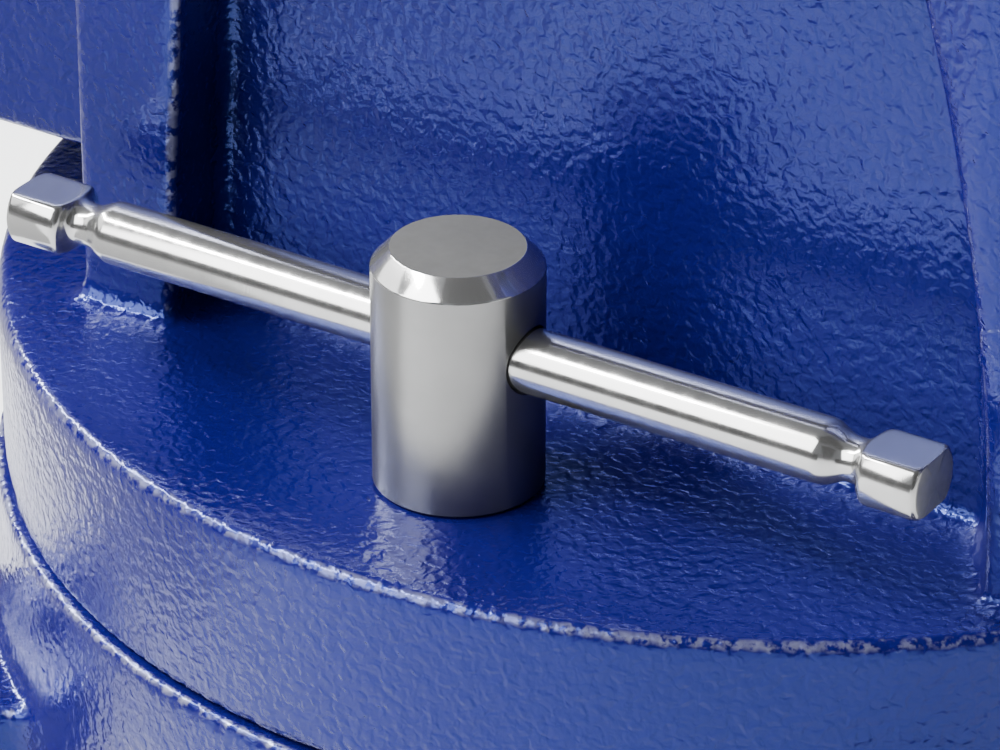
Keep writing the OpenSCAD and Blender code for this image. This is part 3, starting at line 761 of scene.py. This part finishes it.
# ---- handle ----
# A bright drawn bar that slides through the screw's head, with a turned ball knob driven on
# each end. Years of hands keep it polished.
handle_steel = bright_turned_steel("polished_handle_steel", "y", gloss=(0.12, 0.24))
ALONG_Y = Matrix.Translation((HEAD_X, 0, SCREW_Z)) @ Matrix.Rotation(-math.pi / 2, 4, "X")
bar = [(-136, 0), (-136, 4.6), (-135.6, 5), (-124, 5), (-124, 7.3), (-123.3, 8)]
bm = turned(bmesh.new(), [(x * MM, r * MM) for x, r in bar + [(-x, r) for x, r in bar[::-1]]], ALONG_Y, 64)
bmesh.ops.recalc_face_normals(bm, faces=bm.faces)
handle = piece_from("handle_bar_drawn", bm)
handle.data.materials.append(handle_steel)
shading(handle.data)
fasten(handle, "handle", "bright_steel", "handle_bar")
for side, sign in (("left", -1), ("right", 1)):
    ball = [(135 + 14 * math.sin(a), 14 * math.cos(a)) for a in (math.radians(-50 + 5 * i) for i in range(22))]
    profile = ([(136.6, 0), (136.6, 5.05), (124.1, 5.05), (124.02, 5.4), (124.02, 8.2), (124.4, 8.9)] + ball
               + [(147.35, 6.2), (147.5, 5.5), (147.5, 0)])
    profile = [p for p in profile if p[0] <= 147.5]
    bm = turned(bmesh.new(), [(sign * x * MM, r * MM) for x, r in profile], ALONG_Y, 64)
    bmesh.ops.recalc_face_normals(bm, faces=bm.faces)
    knob = piece_from("handle_knob_" + side + "_turned", bm)
    knob.data.materials.append(handle_steel)
    shading(knob.data)
    fasten(knob, "handle", "bright_steel", "handle_knob_" + side)

# ---- lock bolts ----
# A round-headed bolt on each side clamps the turntable to a nut in the base's T-slot. The head
# is turned satin steel with a polished chamfer, a flat end sawn and ground dull, and a cross
# hole for its bar.


def dull_end_steel(name, metal, dark, light, rough):
    f = Finish(name)
    f.set(Metallic=metal)
    f.feed(Base_Color=f.blend(f.spread(f.noise(500, 3), 0, 1), dark, light),
           Roughness=f.spread(f.noise(900, 2), rough, rough + 0.1), Normal=f.relief(f.noise(2600, 2), 0.000004))
    return f.material


satin = bright_turned_steel("satin_bolt_steel", "z", (0.23, 0.23, 0.228), (0.205, 0.205, 0.203), (0.26, 0.29))
polished = bright_turned_steel("polished_chamfer", "z", (0.6, 0.6, 0.595), (0.54, 0.54, 0.54), (0.05, 0.1))
LOCK_Y, LOCK_BAR_Z = 0.0791, 0.084
dull = dull_end_steel("dull_ground_end", 0.3, (0.073, 0.073, 0.071), (0.083, 0.083, 0.081), 0.6)
for side, sign in (("left", -1), ("right", 1)):
    base_z, top = 64.1, 96.9
    crown = round_off((top - 9, 11), (top - 2.5, 11), (top, 8.6), 0.45) + round_off(
        (top - 2.5, 11), (top, 8.6), (top, 0), 0.16)
    shank = [(10.6, 0), (10.6, 7.4), (11.2, 8), (base_z, 8), (base_z, 10.6), (base_z + 0.4, 11)]
    profile = shank + crown + [(top, 0)]
    place = Matrix.Translation((0, sign * LOCK_Y, 0))
    bm = turned(bmesh.new(), [(z * MM, r * MM) for z, r in profile], place, 128)
    bmesh.ops.recalc_face_normals(bm, faces=bm.faces)
    bolt = piece_from("lock_bolt_" + side + "_turned", bm)
    bored(bolt, (0, sign * LOCK_Y, LOCK_BAR_Z), (1, 0, 0), 0.0045, 0.00045)
    mesh = bolt.data
    for finish in (satin, polished, dull):
        mesh.materials.append(finish)
    for face in mesh.polygons:
        high = face.center.z * 1000
        face.material_index = 2 if face.normal.z > 0.99 and high > top - 0.1 else (
            1 if high > top - 2.75 and face.normal.z > 0.25 else 0)
    fasten(bolt, "lock_bolt_" + side, "bright_steel", "lock_bolt_" + side)

# ---- lock bars ----
# Each bolt is turned by a short bar of bright steel that slides through its head. The bar is
# turned to a waist near each end, and the barrel-shaped ends are pressed flat above and below
# so that it can't fall out.
bar_steel = bright_turned_steel("bright_bar_steel", "x", (0.42, 0.42, 0.415), (0.36, 0.36, 0.356), (0.08, 0.15))
FLAT, PRESS_ROUND = 3.0, 0.5
sawn = dull_end_steel("sawn_bar_end", 0.9, (0.2, 0.2, 0.2), (0.24, 0.24, 0.238), 0.3)
for side, sign in (("left", -1), ("right", 1)):
    waist = [(52.8 + 4.0 * t, 2.9 + 0.65 * (1 + math.cos(math.pi * t))) for t in (i / 10 for i in range(11))]
    barrel = [(57.8, 2.9), (58.5, 3.05), (59.0, 3.5), (59.25, 4.1), (59.45, 4.6), (59.8, 5.0), (60.4, 5.2),
              (66.9, 5.2), (67.4, 5.02), (67.65, 4.6), (67.7, 4.3), (67.7, 0)]
    half = [(0, 4.2), (12, 4.2), (30, 4.2)] + waist + barrel
    profile = [(-x, r) for x, r in half[::-1]] + half[1:]
    place = Matrix.Translation((0, sign * LOCK_Y, LOCK_BAR_Z)) @ Matrix.Rotation(math.pi / 2, 4, "Y")
    bm = turned(bmesh.new(), [(x * MM, r * MM) for x, r in profile], place, 96)
    bmesh.ops.recalc_face_normals(bm, faces=bm.faces)
    for v in bm.verts:
        rise = (v.co.z - LOCK_BAR_Z) * 1000
        if abs(v.co.x) > 0.0584 and abs(rise) > FLAT:
            pressed = FLAT + PRESS_ROUND * math.tanh((abs(rise) - FLAT) / PRESS_ROUND)
            v.co.z = LOCK_BAR_Z + math.copysign(pressed, rise) * MM
    bar = piece_from("lock_bar_" + side + "_turned", bm)
    bar.data.materials.append(bar_steel)
    bar.data.materials.append(sawn)
    for face in bar.data.polygons:
        face.material_index = int(abs(face.center.x) > 0.0676)
    shading(bar.data, 50)
    fasten(bar, "lock_bar_" + side, "bright_steel", "lock_bar_" + side)

# ---- lock nuts ----
# A T-shaped steel nut slides in the base's slot under each lock bolt.
for side in ("left", "right"):
    nut = eased("lock_nut_" + side + "_milled", "lock_nut_" + side, 0.0004)
    nut.data.materials.append(zinc)
    fasten(nut, "turntable", "plain_steel", "lock_nut_" + side)

# ---- floor, lights and camera ----
# A wide pale floor, a tall soft light at the front left with a lower one beside it, a weak one
# from the front right, and a narrow strip that draws the edges. Dark cards stand round the vise
# where bright steel needs something dark to reflect. The camera has a long lens.


def pale_floor():
    f = Finish("pale_floor")
    f.set(Roughness=0.7, Emission_Strength=0.42, Emission_Color=(1.0, 1.0, 1.0))
    f.feed(Base_Color=f.blend(f.spread(f.noise(6, 2), 0, 1), (0.78, 0.79, 0.8), (0.82, 0.825, 0.83)))
    return f.material


bm = bmesh.new()
bmesh.ops.create_grid(bm, x_segments=8, y_segments=8, size=12)
floor = piece_from("floor", bm)
floor.data.materials.append(pale_floor())
world = bpy.data.worlds.new("studio")
scene.world = world
world.use_nodes = True
world.node_tree.nodes["Background"].inputs["Color"].default_value = (0.9, 0.93, 1.0, 1)
world.node_tree.nodes["Background"].inputs["Strength"].default_value = 0.26


def softbox(name, place, aim, along, size, glow):
    """A rectangular lamp that faces aim, its first side turned to run along a direction."""
    light = bpy.data.lights.new(name, "AREA")
    light.shape = "RECTANGLE"
    light.size, light.size_y = size
    light.energy = glow * math.pi * size[0] * size[1]
    lamp = bpy.data.objects.new(name, light)
    back = (Vector(place) - Vector(aim)).normalized()
    side = (Vector(along) - back * back.dot(Vector(along))).normalized()
    turn = Matrix((side, back.cross(side), back)).transposed()
    lamp.location = place
    lamp.rotation_mode = "QUATERNION"
    lamp.rotation_quaternion = turn.to_quaternion()
    lamp.visible_camera = False
    scene.collection.objects.link(lamp)


softbox("tall_softbox", (-0.64, -1.36, 1.14), (0, -0.08, 0.08), (0.84, -0.54, 0), (1.1, 1.35), 14)
softbox("left_softbox", (-1.5, -0.5, 0.85), (0, -0.08, 0.08), (0, 1, 0), (1.4, 0.7), 3.4)
softbox("front_softbox", (1.5, 1.0, 1.0), (0.1, 0, 0.15), (-1, 1, 0), (1.0, 1.0), 3.5)
softbox("edge_strip", (-0.62, -0.2, 0.62), (0, -0.08, 0.08), (0.4, -0.65, 0.4), (1.0, 0.05), 190)


def dark_card(name, start, stop, near, far, tone=0.015):
    """A curved dark card out of the camera's sight, for the steel and the paint to reflect.

    It runs round the vise between two headings, from a near (radius, height) to a far one.
    """
    bm = bmesh.new()
    rows = [[bm.verts.new((r * math.sin(a), -r * math.cos(a), z)) for r, z in (near, far)]
            for a in (math.radians(start + (stop - start) * i / 6) for i in range(7))]
    for (a, b), (c, d) in zip(rows, rows[1:]):
        bm.faces.new((a, c, d, b))
    card = piece_from(name, bm)
    f = Finish(name)
    f.set(Roughness=0.8)
    f.feed(Base_Color=f.blend(f.noise(5), (0.8 * tone,) * 3, (1.2 * tone,) * 3))
    card.data.materials.append(f.material)
    card.visible_camera = False
    card.visible_diffuse = False
    card.visible_shadow = False


dark_card("low_card", -75, 15, (2.6, 0.02), (2.6, 0.62))
dark_card("floor_card", -75, 15, (0.55, 0.012), (2.6, 0.02))
dark_card("left_card", -165, -30, (0.16, 0.006), (2.6, 0.006), 0.25)
dark_card("upper_card", 2, 80, (0.6, 0.66), (0.6, 1.6))
dark_card("right_card", 25, 70, (1.3, 0.01), (1.3, 1.2))
camera_data = bpy.data.cameras.new("camera")
camera_data.lens = 182.5
camera_data.sensor_width = 36
camera_data.clip_start = 0.01
camera = bpy.data.objects.new("camera", camera_data)
azimuth, elevation = math.radians(33.0), math.radians(28.51)
look = Vector((-math.sin(azimuth) * math.cos(elevation), math.cos(azimuth) * math.cos(elevation),
               -math.sin(elevation)))
camera.location = (0.3089, -0.5452, 0.3824)
camera.rotation_mode = "QUATERNION"
camera.rotation_quaternion = look.to_track_quat("-Z", "Y")
scene.collection.objects.link(camera)
scene.camera = camera
